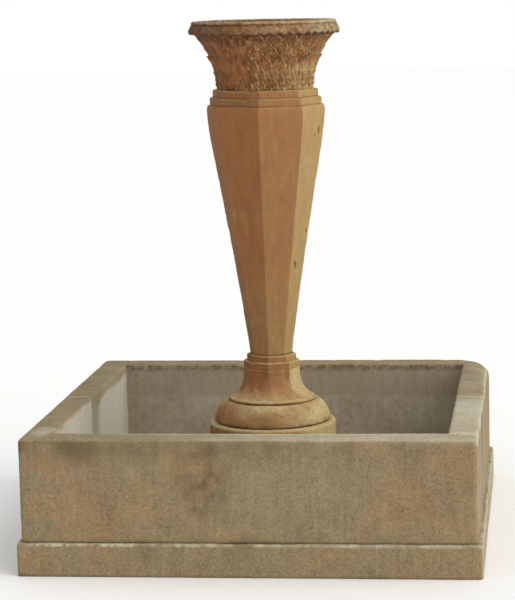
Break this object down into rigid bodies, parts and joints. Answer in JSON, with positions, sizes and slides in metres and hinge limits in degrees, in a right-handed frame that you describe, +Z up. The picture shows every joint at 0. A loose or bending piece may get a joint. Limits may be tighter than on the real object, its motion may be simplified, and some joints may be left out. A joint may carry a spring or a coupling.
{
  "type": "garden fountain",
  "caption": "Square stone garden basin with a tapering octagonal column in the middle, a turned foot and a flared leaf-carved capital with a shallow dish on top",
  "frame": {"origin": "centre of the basin's footprint, on the ground", "axes": "+Z is up along the column's axis, the front of the basin faces -Y, +X is to the right seen from the front"},
  "size_m": [1.242, 1.242, 1.45],
  "materials": {
    "basin_stone": "matte",
    "foot_stone": "matte",
    "shaft_stone": "matte",
    "capital_stone": "matte",
    "outlet_brass": "satin"
  },
  "bodies": {
    "root": {"basin_floor": "basin_stone", "basin_front_half": "basin_stone", "basin_back_half": "basin_stone", "plinth_front_half": "basin_stone", "plinth_back_half": "basin_stone", "column_drum": "foot_stone", "base_torus": "foot_stone", "base_fillet": "foot_stone", "base_bell": "foot_stone", "lower_collar": "shaft_stone", "upper_collar": "shaft_stone", "shaft": "shaft_stone", "lower_neck_step": "shaft_stone", "upper_neck_step": "shaft_stone", "capital_core": "capital_stone", "lower_leaf_tier": "capital_stone", "middle_leaf_tier": "capital_stone", "upper_leaf_tier": "capital_stone", "rim_leaf_tips": "capital_stone", "capital_rim": "capital_stone", "top_dish": "capital_stone", "outlet_pipe": "outlet_brass"}
  },
  "joints": []
}
